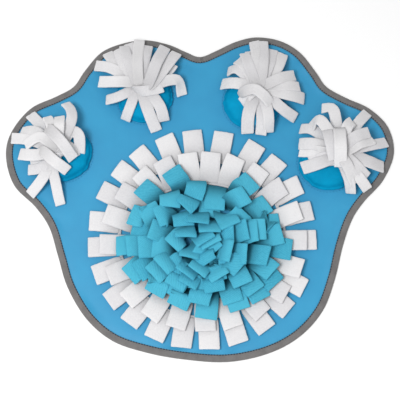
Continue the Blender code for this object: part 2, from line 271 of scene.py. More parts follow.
# Pouch cloth: a closer, smoother polyester than the mat's, gathered over a light filling. It
# is a clear turquoise with soft highlights along its creases.
pouchCloth = {
    "colour": "#0496c2", "deepColour": "#0080aa", "toneRange": (0.3, 0.9), "cloudSize": 22.22,
    "threadPitch": 0.9,                                    # real 0.5 mm, drawn coarser to show
    "threadSlant": 12, "threadWander": 0.3, "threadDetail": 2.0, "threadTone": 0.3, "depth": 0.08,
    "relief": 0.6, "roughness": (0.65, 0.78),
    "shader": {"Metallic": 0.0, "IOR": 1.5, "Specular IOR Level": 0.06},
}


def pouchMaterial():
    look = pouchCloth
    material, tree = newMaterial("turquoise polyester pouch cloth")
    place = addNode(tree, "ShaderNodeTexCoord").outputs["Object"]
    turned = addNode(tree, "ShaderNodeMapping",
                     {"Vector": place, "Rotation": (0, 0, math.radians(look["threadSlant"]))})
    weave = plainWeave(tree, turned.outputs["Vector"], look)
    cloud = addNode(tree, "ShaderNodeTexNoise", {"Vector": place, "Scale": 1 / (look["cloudSize"] * mm),
                                                 "Detail": 3.0}).outputs["Fac"]
    tone = addNode(tree, "ShaderNodeMath", {0: weave, 1: look["threadTone"], 2: cloud},
                   operation="MULTIPLY_ADD").outputs[0]
    finishCloth(tree, look, tone, weave, cloud)
    return material


# Spun polyester sewing thread: two plies twisted, dull, with a faint spiral of light.
threadPlies = {
    # the grey thread is real stitching, dark enough to serve also as painted shadow along the tape
    "greyThread": "#2f3a48", "blueThread": "#2c8fc2", "whiteThread": "#d9dadf", "grooveShade": 0.6,
    "ribPitch": 0.6,                                       # real 0.3 mm, coarser as the thread is
    "ribSlant": 35, "ribWander": 0.0, "depth": 0.08, "roughness": (0.6, 0.75),
}


def threadMaterial(name):
    look = threadPlies
    material, tree = newMaterial("polyester sewing thread " + name)
    plies = slantedRibs(tree, look)
    full = hexToLinear(look[name])
    dyes = {"Factor": plies, 6: darker(full, look["grooveShade"]), 7: full}
    colour = addNode(tree, "ShaderNodeMix", dyes, data_type="RGBA")
    bump = addNode(tree, "ShaderNodeBump", {"Height": plies, "Distance": look["depth"] * mm})
    low, high = look["roughness"]
    rough = addNode(tree, "ShaderNodeMapRange", {"Value": plies, "To Min": low, "To Max": high})
    shader = addNode(tree, "ShaderNodeBsdfPrincipled",
                     {"Base Color": colour.outputs[2], "Normal": bump.outputs["Normal"],
                      "Roughness": rough.outputs["Result"], "Metallic": 0.0, "IOR": 1.5,
                      "Specular IOR Level": 0.3})
    addNode(tree, "ShaderNodeOutputMaterial", {"Surface": shader.outputs["BSDF"]})
    return material


materials = {
    "mat": oxfordMaterial(), "binding": tapeMaterial(), "white": fleeceMaterial(whiteFleece),
    "teal": fleeceMaterial(tealFleece), "pouch": pouchMaterial(),
    **{name: threadMaterial(name) for name in ("greyThread", "blueThread", "whiteThread")},
}
print("materials ready:", len(materials))


class Shape:
    # points, faces, cloth layout in metres, a tone for each strand and how much painted shade it gets
    def __init__(self):
        self.points, self.faces, self.layout, self.tone, self.paintedShade = [], [], [], [], []

    def addPoint(self, point, mark, tone=0.5, paintedShade=0.0):
        self.points.append(point)
        self.layout.append(mark)
        self.tone.append(tone)
        self.paintedShade.append(paintedShade)

    def addGrid(self, rows, layoutRows, tone=0.5, paintedShade=None, looped=False, capped=False):
        # closed rows of points; looped joins the last row to the first, capped shuts both ends
        start, count = len(self.points), len(rows[0])
        for i, (row, marks) in enumerate(zip(rows, layoutRows)):
            for point, mark in zip(row, marks):
                self.addPoint(point, mark, tone, paintedShade[i] if paintedShade else 0.0)
        for i in range(len(rows) if looped else len(rows) - 1):
            here, there = start + i * count, start + (i + 1) % len(rows) * count
            for j in range(count):
                k = (j + 1) % count
                self.faces.append((here + j, here + k, there + k, there + j))
        if capped:
            for base in (start, start + (len(rows) - 1) * count):
                self.faces.append(tuple(base + k for k in range(count)))
        return start

    def makePiece(self, name, material, replaced=()):
        mesh = bpy.data.meshes.new(name)
        mesh.from_pydata(self.points, [], self.faces)
        work = bmesh.new()
        work.from_mesh(mesh)
        bmesh.ops.recalc_face_normals(work, faces=work.faces)
        work.to_mesh(mesh)
        work.free()
        layout = mesh.uv_layers.new(name="clothLayout")
        for loop in mesh.loops:
            layout.data[loop.index].uv = self.layout[loop.vertex_index]
        # the painted shade of each point goes to the fleece material as an attribute
        for attribute, values in (("strandTone", self.tone), ("paintedRootShade", self.paintedShade)):
            mesh.attributes.new(attribute, "FLOAT", "POINT").data.foreach_set("value", values)
        mesh.polygons.foreach_set("use_smooth", [True] * len(mesh.polygons))
        mesh.materials.append(material)
        piece = bpy.data.objects.new(name, mesh)
        bpy.context.scene.collection.objects.link(piece)
        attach(piece, "root")
        if replaced:
            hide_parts(*replaced)
        return piece


def onBearing(degrees):
    angle = math.radians(degrees)
    return Vector((math.cos(angle), math.sin(angle), 0.0))


def easeIn(value, low, high):
    share = min(1.0, max(0.0, (value - low) / (high - low)))
    return share * share * (3 - 2 * share)


def smoothCurve(knots, steps, closed=True):
    # Catmull-Rom through the knots
    count = len(knots)
    curve = []
    for i in range(count if closed else count - 1):
        around = [(i + k) % count if closed else min(count - 1, max(0, i + k)) for k in (-1, 0, 1, 2)]
        before, start, end, after = (knots[k] for k in around)
        for step in range(steps):
            t = step / steps
            curve.append(0.5 * (2 * start + (end - before) * t
                                + (2 * before - 5 * start + 4 * end - after) * t ** 2
                                + (3 * start - before - 3 * end + after) * t ** 3))
    if not closed:
        curve.append(knots[-1].copy())
    return curve


def rolledFrame(centre, side, up, roll):
    # a strand's middle, the way across it and its upper side, rolled by an angle
    return (centre.copy(), side * math.cos(roll) + up * math.sin(roll),
            up * math.cos(roll) - side * math.sin(roll))


def sectionPoints(width, thickness, across, edge, bulge=0.75):
    # rounded section of a strand as (across, up), counter-clockwise seen along it: so many spans
    # across its flat sides and so many points on each edge, which stands out by the bulge
    radius = thickness / 2
    flat = width / 2 - radius * bulge
    top = [(-flat + 2 * flat * i / across, radius) for i in range(across + 1)]
    right = [(flat + bulge * radius * math.sin(math.pi * (k + 1) / (edge + 1)),
              radius * math.cos(math.pi * (k + 1) / (edge + 1))) for k in range(edge)]
    return top + right + [(-x, -y) for x, y in top + right]


strandSettings = {
    # one of these is the share of a strand's length over which its painted root shade fades out
    "across": 8, "edge": 3, "fray": 0.35, "fraySize": 3.4, "paintedShadeRun": 0.7, "tipNarrowing": 0.9,
    # rounding of the cut edge: share of the thickness left, reach as a share of the thickness
    "cutEdge": ((0.86, 0.22), (0.62, 0.38), (0.3, 0.46)),
}


def addStrand(shape, frames, widths, thickness, cups, tone, skew):
    # frames hold centre, across and normal; cups is the roll of the section in degrees at each
    s = strandSettings
    across, edge = s["across"], s["edge"]
    rows, marks, run = [], [], 0.0
    rings = [(frame, width, cup, 1.0) for frame, width, cup in zip(frames, widths, cups)]
    (end, endSide, endUp), before = frames[-1], frames[-2][0]
    ahead = (end - before).normalized()
    for thin, reach in s["cutEdge"]:
        frame = (end + ahead * thickness * reach, endSide, endUp)
        rings.append((frame, widths[-1] - thickness * reach * s["tipNarrowing"], cups[-1], thin))
    for i, ((centre, side, up), width, cup, thin) in enumerate(rings):
        if i:
            run += (centre - rings[i - 1][0][0]).length
        row, mark = [], []
        curl = math.radians(cup) / width
        tip = max(0.0, (i - 2) / (len(rings) - 3))
        for x, y in sectionPoints(width, thickness * thin, across, edge):
            turn = curl * x
            along = math.sin(turn) / curl if abs(curl) > 1e-6 else x
            rise = (1 - math.cos(turn)) / curl if abs(curl) > 1e-6 else 0.0
            point = centre + side * (along - y * math.sin(turn)) + up * (rise + y * math.cos(turn))
            point = point + ahead * skew * x * tip ** 3
            fray = noise.noise_vector(point / (s["fraySize"] * mm)) * s["fray"] * mm
            row.append(point + fray * (1.0 if i > 1 else 0.0))
            mark.append((x, run + (y if i > len(frames) else 0.0)))
        rows.append(row)
        marks.append(mark)
    # painted shade, strongest at the strand's root and gone towards its tip
    paintedShade = [1 - easeIn(i / len(frames), 0.0, s["paintedShadeRun"]) for i in range(len(rows))]
    start = shape.addGrid(rows, marks, tone, paintedShade)
    count = len(rows[0])
    for base in (start, start + (len(rows) - 1) * count):   # both ends, in quads as the flat sides
        opposite = [2 * across + edge + 1 - i for i in range(across + 1)]
        for i in range(across):
            shape.faces.append((base + i, base + i + 1, base + opposite[i + 1], base + opposite[i]))
        shape.faces.append(tuple(base + i for i in range(across, across + edge + 2)))
        shape.faces.append(tuple(base + i % count for i in range(2 * across + edge + 1,
                                                                 2 * across + 2 * edge + 3)))


stitchShape = {"steps": 5, "sides": 6, "arch": 2.2, "endThickness": 0.35, "endRun": 0.07}


def addStitch(shape, middle, along, up, length, radius):
    # one stitch: a short arc of thread that dips into the cloth at both ends
    s = stitchShape
    side = along.cross(up).normalized()
    rows, marks = [], []
    for i in range(s["steps"] + 1):
        share = i / s["steps"]
        lift = s["arch"] * math.sin(math.pi * share) - 1.0
        centre = middle + along * (share - 0.5) * length + up * (radius * lift)
        swell = math.sin(math.pi * min(1 - s["endRun"], max(s["endRun"], share)))
        thick = radius * (s["endThickness"] + (1 - s["endThickness"]) * swell)
        rows.append([centre + (side * math.cos(a) + up * math.sin(a)) * thick
                     for a in (math.tau * k / s["sides"] for k in range(s["sides"]))])
        marks.append([(k * radius, share * length) for k in range(s["sides"])])
    shape.addGrid(rows, marks, capped=True)


matSettings = {
    "thickness": 4.0, "shoulder": 1.8, "tapeWidth": 11.0, "tapeCloth": 0.8, "gap": 0.35,
    "outlineSteps": 6, "rings": 34, "ringSpacing": 0.9, "innerRing": 0.97,
    "sag": 0.75, "sagSize": 55.0, "fineSag": 0.35, "fineSagSize": 0.3,    # fine ones as a share
    "pullDown": 0.4, "pullDownRun": 9.0,
    "pucker": 0.35, "puckerPitch": 8.5, "puckerRings": 1.6, "puckerDrift": 2, "driftPerMetre": 30,
    "tapeRipple": 0.18, "tapeRippleSize": 14, "tapeUneven": 0.12, "tapeUnevenSize": 6,
    "stitchPitch": 4.2, "stitchLength": 3.8, "stitchInset": 10.3, "stitchLift": 0.05,
    "threadRadius": 0.75,                                  # real thread 0.3 mm across, drawn thicker; close, dark stitches also paint the shadow line at the tape's inner edge
}
# outer edge of the paw in millimetres, counter-clockwise from the notch between the inner toes
pawOutline = (
    (0, 226), (-24, 235), (-50, 247), (-86, 255), (-122, 250), (-158, 234), (-184, 202),
    (-201, 175), (-229, 158), (-268, 138), (-297, 98), (-303, 58), (-288, 12), (-254, -22),
    (-231, -55), (-216, -100), (-200, -148), (-170, -196), (-130, -229), (-80, -246),
    (-25, -256), (40, -260), (100, -248), (148, -223), (184, -184), (204, -136), (218, -84),
    (234, -42), (254, -13), (284, 20), (303, 64), (296, 107), (268, 138), (232, 156),
    (201, 175), (185, 200), (160, 234), (128, 254), (90, 260), (57, 252), (27, 237),
)
pouchPlaces = (((-213, 63), 45), ((-87, 157), 44), ((82, 147), 45), ((199, 49), 46))


def pawCurve():
    curve = smoothCurve([Vector(point) * mm for point in pawOutline], matSettings["outlineSteps"])
    low = Vector((min(p.x for p in curve), min(p.y for p in curve)))
    high = Vector((max(p.x for p in curve), max(p.y for p in curve)))
    return [point - (low + high) / 2 for point in curve]


def insetRing(outline, inset, height):
    ring = []
    for i, point in enumerate(outline):
        along = (outline[(i + 1) % len(outline)] - outline[i - 1]).normalized()
        ring.append(Vector((point.x - along.y * inset * mm, point.y + along.x * inset * mm, height * mm)))
    return ring


def runLengths(ring):
    lengths = [0.0]
    for i in range(1, len(ring)):
        lengths.append(lengths[-1] + (ring[i] - ring[i - 1]).length)
    return lengths


def spacedAlong(curve, steps):
    # even stations along a curve, and its length
    lengths = runLengths(curve)
    stations, k = [], 0
    for i in range(steps + 1):
        want = lengths[-1] * i / steps
        while k < len(curve) - 2 and lengths[k + 1] < want:
            k += 1
        share = (want - lengths[k]) / max(1e-9, lengths[k + 1] - lengths[k])
        stations.append(curve[k].lerp(curve[k + 1], share))
    return stations, lengths[-1]


def clothSag(point, edgeShare, run):
    # wadding gives in soft hollows, is pulled down round each pouch and puckers at the tape
    s = matSettings
    size = s["sagSize"] * mm
    broad = noise.noise(Vector((point.x, point.y, 0.3)) / size)
    fine = noise.noise(Vector((point.x, point.y, 2.0)) / (s["fineSagSize"] * size))
    sag = (0.5 + 0.5 * broad + s["fineSag"] * (0.5 + 0.5 * fine)) * s["sag"]
    for (x, y), radius in pouchPlaces:
        away = math.hypot(point.x / mm - x, point.y / mm - y) - radius
        sag += s["pullDown"] * math.exp(-(away / s["pullDownRun"]) ** 2)
    drift = s["puckerDrift"] * noise.noise(point * s["driftPerMetre"])
    sag += s["pucker"] * edgeShare * (1 + math.sin(math.tau * run / (s["puckerPitch"] * mm) + drift))
    return sag * mm


def buildMat():
    s = matSettings
    outline = pawCurve()
    runs = runLengths(outline)
    edge = insetRing(outline, s["tapeWidth"] + s["shoulder"], s["thickness"])
    top, under = [], []
    for i in range(s["rings"]):
        share = 1 - (i / (s["rings"] - 1)) ** s["ringSpacing"] * s["innerRing"]
        top.append([Vector((p.x * share, p.y * share, p.z)) for p in edge])
        under.append([Vector((p.x * share, p.y * share, 0.0)) for p in edge])
    for i, ring in enumerate(top):
        for j, point in enumerate(ring):
            edgeShare = math.exp(-(i / s["puckerRings"]) ** 2)
            point.z -= clothSag(point, edgeShare, runs[j])
    wide, high, thin = s["tapeWidth"], s["thickness"], s["tapeCloth"] + s["gap"]
    tucked = (                                             # inset and height inside the tape's fold
        (wide + 0.4, thin), (wide - 1.0, thin + 0.15), (1.4, thin + 0.2), (1.4, high - thin - 0.2),
        (wide - 1.0, high - thin), (wide + 0.4, high - thin + 0.2), (wide + 1.0, high - 0.75),
    )
    rings = [*reversed(under), *(insetRing(outline, inset, height) for inset, height in tucked), *top]
    shape = Shape()
    start = shape.addGrid(rings, [[(p.x, p.y) for p in ring] for ring in rings])
    count = len(outline)
    for base in (start, start + (len(rings) - 1) * count):
        middle = sum((shape.points[base + k] for k in range(count)), Vector()) / count
        shape.addPoint(middle, (0.0, 0.0))
        for k in range(count):
            shape.faces.append((base + k, base + (k + 1) % count, len(shape.points) - 1))
    return shape.makePiece("matCloth", materials["mat"], ["mat"])


# section of the folded tape in millimetres: inset from the outline, height
tapeSection = (
    (11.0, 3.3), (11.05, 3.75), (10.6, 4.0), (9.4, 3.92), (7.5, 4.08), (5.0, 4.16), (2.8, 4.12),
    (1.2, 3.8), (0.35, 3.1), (0.05, 2.0), (0.35, 0.9), (1.2, 0.25), (2.8, 0.02), (6.0, 0.0),
    (10.6, 0.0), (11.0, 0.25), (11.0, 0.75), (6.0, 0.8), (2.4, 0.85), (1.15, 1.4), (0.95, 2.0),
    (1.15, 2.6), (2.4, 3.2), (6.0, 3.3),
)


def buildBinding():
    s = matSettings
    outline = pawCurve()
    runs = runLengths(outline)
    rings, marks, across = [], [], 0.0
    for k, (inset, height) in enumerate(tapeSection):
        ring = insetRing(outline, inset, height)
        for point in ring:
            ripple = noise.noise(Vector((point.x, point.y, 0.0)) / (s["tapeRippleSize"] * mm))
            if inset > 8 and height > 2:                   # the inner edge of the upper face
                point.z += s["tapeRipple"] * mm * ripple
            if height > 2:                                 # the upper face
                uneven = noise.noise(point / (s["tapeUnevenSize"] * mm))
                point.z = max(0.0, point.z + s["tapeUneven"] * mm * uneven)
        if k:
            across += math.dist(tapeSection[k], tapeSection[k - 1]) * mm
        rings.append(ring)
        marks.append([(run, across) for run in runs])
    shape = Shape()
    shape.addGrid(rings, marks, looped=True)
    return shape.makePiece("bindingTape", materials["binding"], ["binding"])


def stitchesAlong(shape, line, pitch, length, radius, lift):
    # even stitches on a closed line
    line = line + [line[0]]
    lengths = runLengths(line)
    count = int(lengths[-1] / (pitch * mm))
    k = 0
    for i in range(count):
        want = lengths[-1] * (i + 0.5) / count
        while lengths[k + 1] < want:
            k += 1
        share = (want - lengths[k]) / (lengths[k + 1] - lengths[k])
        along = (line[k + 1] - line[k]).normalized()
        middle = line[k].lerp(line[k + 1], share) + upward * lift * mm
        addStitch(shape, middle, along, upward, length * mm, radius * mm)


# the tape's stitching, drawn dark and nearly unbroken so that it is also a painted shadow line along the
# tape's inner edge
def buildTapeStitches():
    s = matSettings
    shape = Shape()
    stitchesAlong(shape, insetRing(pawCurve(), s["stitchInset"], s["thickness"]), s["stitchPitch"],
                  s["stitchLength"], s["threadRadius"], s["stitchLift"])
    return shape.makePiece("tapeStitches", materials["greyThread"])


matPiece = buildMat()
tapePiece = buildBinding()
tapeStitches = buildTapeStitches()
print("mat, tape and edge stitches built")


flapSettings = {
    "length": 47.0, "width": {"white": 31.0, "teal": 32.5}, "widthSpread": 1.5, "thickness": 3.3,
    "steps": 14, "rootPinch": 0.9, "pinchRun": 9.0, "riseOfInward": 58.0, "camber": (2.0, 24.0),
    "camberRun": (0.1, 0.8), "turnRun": (0.0, 0.9),        # shares of the length where they set in
    "roll": {"white": 4.0, "teal": 11.0}, "rollPower": 1.5, "wave": 4.0, "waveTurns": 5, "skew": 0.05,
    "straightest": 0.985,                                  # longest reach as a share of the length
    "seamWidth": 5.0, "seamHeight": 3.4, "seamBase": 4.35, "seamSteps": 120, "seamStep": 6.0,
    # the sewn strips take painted shade too, as the flaps crowd over them
    "seamSection": (4, 3), "seamPaintedShade": 0.8, "smallestSewn": 15,
    "stitchPitch": 4.5, "stitchLength": 3.2, "stitchLift": 0.05, "threadRadius": 0.42,
}
# Outermost first: centre and radii of the sewn oval in millimetres. A white flap is given as
# bearing of the root, lean above the mat and turn of the tip, and bends by the row's bend. A
# blue-green one as bearing of the root, x and y of the middle of its tip in the photo, height
# of the tip above the floor, and the tip's bearing and slope; it leaves the seam at the row's
# rise, or at its own where a last number gives one.
flapRows = (
    {
        "node": "white_row_1", "cloth": "white", "centre": (3, -71), "radii": (126, 123), "bend": 14,
        "flaps": (
            (358, 5, 4), (14, 6, -3), (29, 5, -4), (45, 5, 3), (60, 6, -2), (78, 6, 2), (95, 5, 2),
            (110, 6, 4), (126, 5, 6), (140, 7, 4), (155, 5, -2), (171, 5, 6), (186, 6, -4),
            (200, 5, 2), (215, 6, 4), (230, 6, 2), (245, 5, 0), (259, 6, 3), (274, 5, -2),
            (289, 6, -3), (304, 5, 4), (319, 6, 0), (333, 5, -2),
        ),
    },
    {
        "node": "white_row_2", "cloth": "white", "centre": (5, -77), "radii": (110, 92), "bend": 12,
        "flaps": (
            (0, 14, -3), (16, 15, 3), (33.5, 14, -3), (49.5, 14, 3), (68, 13, -2), (84.5, 15, 1),
            (101, 13, -1), (118, 15, 2), (134, 14, 3), (150, 15, 3), (166, 14, -2), (183, 14, -4),
            (200, 15, 3), (217, 14, 3), (234, 14, 2), (252, 13, -2), (271, 14, 3), (290, 13, -3),
            (309, 14, 2), (327, 14, 2), (344, 14, 0),
        ),
    },
    {
        "node": "teal_row_1", "cloth": "teal", "centre": (6, -75.5), "radii": (89, 79.5), "rise": 44,
        "tips": (
            (113, 171, 170, 23, 119, -14), (140, 141, 186, 23, 137, -12), (159, 131, 214, 23, 157, -12),
            (183, 117, 246, 21, 183, -10), (201, 129, 276, 23, 219, -12), (221, 154, 293, 23, 240, -12),
            (247, 177, 306, 23, 244, -14), (274, 206, 318, 21, 264, -12), (299, 240, 309, 21, 290, -12),
            (319, 262, 300, 23, 302, -12), (335, 277, 285, 23, 318, -12), (355, 292, 250, 23, 352, -12),
            (54, 252, 180, 25, 47, -12), (98, 193, 197, 25, 247, -8, 24),
            (77, 214, 209, 20, 268, -2, 14), (127, 170, 206, 36, 266, -4),
            (16, 279, 224, 14, 12, -12),
        ),
    },
    {
        "node": "teal_row_2", "cloth": "teal", "centre": (7, -80), "radii": (75, 62), "rise": 58,
        "tips": (
            (4, 283, 233, 28, 16, -14), (342, 273, 272, 29, 319, -12), (320, 256, 291, 29, 305, -12),
            (299, 233, 302, 28, 285, -12), (268, 198, 303, 29, 257, -12), (202, 138, 272, 29, 214, -12),
            (183, 127, 246, 26, 185, -12), (160, 147, 206, 31, 120, -10), (57, 246, 194, 35, 31, -8),
            (112, 184, 206, 41, 224, 16), (236, 170, 294, 25, 236, -10),
            (87, 209, 216, 18, 262, 6, 20), (170, 132, 232, 19, 170, -8),
            (31, 267, 203, 17, 32, -4, 30),
        ),
    },
    {
        "node": "teal_row_3", "cloth": "teal", "centre": (7, -82), "radii": (61, 50), "rise": 66,
        "tips": (
            (16, 265, 229, 33, 4, -12), (346, 268, 256, 33, 345, -12), (320, 243, 284, 34, 295, -10),
            (281, 215, 291, 35, 278, -10), (238, 174, 286, 35, 239, -6), (208, 153, 275, 33, 225, -12),
            (186, 139, 247, 30, 185, -12), (147, 157, 217, 39, 204, -6), (101, 198, 222, 45, 257, 8),
            (128, 184, 225, 38, 275, 2), (264, 196, 288, 26, 262, 0), (60, 231, 225, 41, 300, -2),
        ),
    },
    {
        "node": "teal_row_4", "cloth": "teal", "centre": (7, -83), "radii": (47, 39), "rise": 74,
        "tips": (
            (13, 257, 230, 38, 5, -14), (210, 161, 266, 37, 225, -10), (168, 151, 228, 34, 156, -12),
            (251, 187, 284, 39, 239, 10), (80, 210, 231, 44, 275, 4), (140, 186, 236, 44, 265, 2),
            (190, 150, 247, 24, 186, -8), (315, 240, 268, 33, 316, 0), (288, 217, 280, 30, 285, 0),
            (230, 172, 270, 30, 232, 10), (38, 244, 212, 22, 50, 0),
        ),
    },
    {
        "node": "teal_row_5", "cloth": "teal", "centre": (7, -84), "radii": (33, 29), "rise": 80,
        "tips": (
            (338, 246, 254, 39, 354, -10), (283, 220, 277, 39, 300, -10), (20, 247, 229, 38, 10, -12),
            (237, 185, 273, 43, 231, 8), (264, 197, 271, 46, 236, 12),
            (150, 172, 245, 36, 228, -8), (310, 228, 264, 30, 310, 10),
        ),
    },
    {
        "node": "teal_row_6", "cloth": "teal", "centre": (7, -85), "radii": (19, 18), "rise": 84,
        "tips": (
            (342, 231, 251, 44, 350, -10), (20, 233, 232, 38, 2, -10),
            (160, 189, 257, 42, 256, -6), (115, 206, 241, 45, 302, 6),
            (64, 212, 244, 43, 303, 4),
        ),
    },
    {
        "node": "teal_row_7", "cloth": "teal", "centre": (7, -86), "radii": (6, 4), "rise": 88,
        "tips": (
            (40, 216, 238, 36, 40, 20), (150, 198, 244, 36, 150, 20), (285, 207, 263, 35, 304, -16, 66),
        ),
    },
)


def ovalPoint(row, at):
    out = onBearing(at)
    reach = 1.0 / math.hypot(out.x / row["radii"][0], out.y / row["radii"][1])
    height = flapSettings["seamBase"] + flapSettings["seamHeight"] / 2
    return (Vector((*row["centre"], height)) + out * reach) * mm


def squareToSeam(row, at):
    out = onBearing(at)
    along = row["radii"][0] / row["radii"][1]
    square = math.degrees(math.atan2(out.y * along, out.x / along))
    return at + (square - at + 180.0) % 360.0 - 180.0


def flapWidthAt(share, width):
    # drawn in a little where it is sewn
    s = flapSettings
    free = easeIn(share * s["length"], 0, s["pinchRun"])
    return width * (s["rootPinch"] + (1 - s["rootPinch"]) * free)


def addFlap(shape, row, at, lean, turn):
    s = flapSettings
    square = squareToSeam(row, at)
    steps = s["steps"]
    step = s["length"] * mm / steps
    centre = ovalPoint(row, at)
    camber = -dice.uniform(*s["camber"])
    roll = math.radians(dice.uniform(-1, 1) * s["roll"][row["cloth"]])
    wave, phase = dice.uniform(-1, 1) * s["wave"], dice.uniform(0, 6)
    frames, widths, cups = [], [], []
    for i in range(steps + 1):
        share = i / steps
        ripple = wave * math.sin(phase + s["waveTurns"] * share) * share
        slope, onwards = (math.radians(lean + row["bend"] * (0.5 - easeIn(there, 0.0, 1.0)) + ripple)
                          for there in (share, share + 0.5 / steps))
        heading = square + (at + turn - square) * share
        out, side = onBearing(heading), onBearing(heading + 90)
        along = out * math.cos(slope) + upward * math.sin(slope)
        frames.append(rolledFrame(centre, side, along.cross(side), roll * share ** s["rollPower"]))
        widths.append(flapWidthAt(share, s["width"][row["cloth"]] * mm))
        cups.append(camber * easeIn(share, *s["camberRun"]))
        centre += (out * math.cos(onwards) + upward * math.sin(onwards)) * step
    addStrand(shape, frames, widths, s["thickness"] * mm, cups, dice.random(),
              dice.uniform(-1, 1) * s["skew"])


def curlThrough(root, leave, tip, arrive, length):
    # a flap's middle line: its handles are drawn out until the curve is as long as the cut flap
    reach, longest = tip - root, flapSettings["straightest"] * length
    if reach.length > longest:
        tip = root + reach * (longest / reach.length)
    low, high = 0.0, 2.0 * length
    halvings, spans = 24, 40
    for _ in range(halvings):
        pull = (low + high) / 2
        knots = (root, root + leave * pull, tip - arrive * pull, tip)
        curve = []
        for i in range(spans + 1):
            t = i / spans
            curve.append(knots[0] * (1 - t) ** 3 + knots[1] * (3 * t * (1 - t) ** 2)
                         + knots[2] * (3 * t * t * (1 - t)) + knots[3] * t ** 3)
        if runLengths(curve)[-1] < length:
            low = pull
        else:
            high = pull
    return curve


def addPlacedFlap(shape, row, at, x, y, height, bearing, slope, ownRise=None):
    s = flapSettings
    root, tip = ovalPoint(row, at), photoPlace(x, y, height)
    square = onBearing(squareToSeam(row, at))
    flopsIn = square.dot(onBearing(bearing)) < 0
    rise = math.radians(ownRise or (s["riseOfInward"] if flopsIn else row["rise"]))
    droop = math.radians(slope)
    leave = square * math.cos(rise) + upward * math.sin(rise)
    arrive = onBearing(bearing) * math.cos(droop) + upward * math.sin(droop)
    stations = spacedAlong(curlThrough(root, leave, tip, arrive, s["length"] * mm), s["steps"])[0]
    rootSide, tipSide = upward.cross(square), onBearing(bearing + 90)
    if rootSide.dot(tipSide) < 0:                          # it flops inwards, towards the middle
        rootSide = -rootSide
    camber = -dice.uniform(*s["camber"])
    roll = math.radians(dice.uniform(-1, 1) * s["roll"]["teal"])
    width = (s["width"]["teal"] + dice.uniform(-s["widthSpread"], s["widthSpread"])) * mm
    frames, widths, cups = [], [], []
    for i, centre in enumerate(stations):
        share = i / s["steps"]
        along = (stations[min(s["steps"], i + 1)] - stations[max(0, i - 1)]).normalized()
        side = rootSide.lerp(tipSide, easeIn(share, *s["turnRun"]))
        side = (side - along * side.dot(along)).normalized()
        frames.append(rolledFrame(centre, side, along.cross(side), roll * share ** s["rollPower"]))
        widths.append(flapWidthAt(share, width))
        cups.append(camber * easeIn(share, *s["camberRun"]))
    addStrand(shape, frames, widths, s["thickness"] * mm, cups, dice.random(),
              dice.uniform(-1, 1) * s["skew"])


def addSeam(shape, row):
    # the sewn strip that the row's flaps grow from, with fewer steps on a smaller oval
    s = flapSettings
    steps = max(24, round(s["seamSteps"] * row["radii"][0] / flapRows[0]["radii"][0]))
    section = sectionPoints(s["seamWidth"] * mm, s["seamHeight"] * mm, *s["seamSection"])
    rows, marks = [], []
    for i in range(steps):
        at = 360.0 * i / steps
        out = onBearing(squareToSeam(row, at))
        middle = ovalPoint(row, at)
        rows.append([middle + out * x + Vector((0, 0, y)) for x, y in section])
        marks.append([(x, i * s["seamStep"] * mm) for x, y in section])
    # painted shade over the whole sewn strip
    shape.addGrid(rows, marks, paintedShade=[s["seamPaintedShade"]] * steps, looped=True)


def buildRow(row):
    shape = Shape()
    addSeam(shape, row)
    for flap in row.get("flaps", ()):
        addFlap(shape, row, *flap)
    for tip in row.get("tips", ()):
        addPlacedFlap(shape, row, *tip)
    cloth = row["cloth"]
    return shape.makePiece(row["node"] + "_fleece", materials[cloth], [row["node"]])


def buildRowStitches(cloth, thread):
    s = flapSettings
    shape = Shape()
    for row in flapRows:
        if row["cloth"] == cloth and row["radii"][0] > s["smallestSewn"]:
            line = [ovalPoint(row, at) for at in range(0, 360, 2)]
            stitchesAlong(shape, line, s["stitchPitch"], s["stitchLength"], s["threadRadius"],
                          s["seamHeight"] / 2 + s["stitchLift"])
    return shape.makePiece(cloth + "RowStitches", materials[thread])


rowPieces = [buildRow(row) for row in flapRows]
rowStitches = [buildRowStitches("white", "whiteThread"), buildRowStitches("teal", "blueThread")]
print("flap rows built:", len(rowPieces))


pouchSettings = {
    "height": 21.0, "base": 4.35, "around": 168, "profileSteps": 3,
    "pleats": 8, "pleatDepth": 0.012, "pleatAtMiddle": 0.3, "gather": 0.022, "gathers": 15,
    "gatherDrift": 7, "gatherMiddle": 0.6, "gatherFade": (0.15, 0.9), "waveRun": 1.4,
    "crease": 1.2, "creaseSize": 19.0, "creaseMiddle": 1.1, "creaseLimit": 0.9, "creaseFrom": 0.04,
    "creaseNoise": (1.0, 2.0, 2, 1.0, 2.0),                # dimension, lacunarity, octaves, offset, gain
    "creaseOut": 0.8, "creaseUp": 0.4, "layoutStep": 3.0,
    "stitchPitch": 5.0, "stitchLength": 3.4, "stitchRing": 1.045, "stitchLift": 3.1,
    "threadRadius": 0.42,
}
# share of the radius, share of the height
pouchProfile = (
    (0.93, 0.0), (0.985, 0.04), (1.0, 0.12), (0.985, 0.21), (0.95, 0.29), (0.93, 0.38), (0.91, 0.49),
    (0.875, 0.62), (0.80, 0.75), (0.68, 0.865), (0.53, 0.94), (0.38, 0.985), (0.22, 1.0), (0.06, 0.985),
)
stripSettings = {
    "rootWidth": 12.0, "flare": 12.0, "thickness": 3.3, "steps": 20, "curveSteps": 10,
    "cup": (6.0, 38.0), "cupAtEnds": 0.35, "cupShift": 0.15, "roll": 8.0, "rollPower": 1.3,
    "wave": 1.3, "waveTurns": 7, "skew": 0.12, "settle": 0.12, "seed": 7,
    "knotReach": 22.0, "intoKnot": (0.2, -2.0),            # a first point this near starts in the knot
    "knotBase": 25.7, "knotHeight": 11.0, "knotRadius": 10.0, "knotSides": 60, "knotFolds": 9,
    "knotFoldDepth": 0.09,
}
# share of the radius, share of the height
knotProfile = ((0.5, 0.0), (0.95, 0.28), (0.95, 0.68), (0.5, 1.0), (0.06, 1.04))
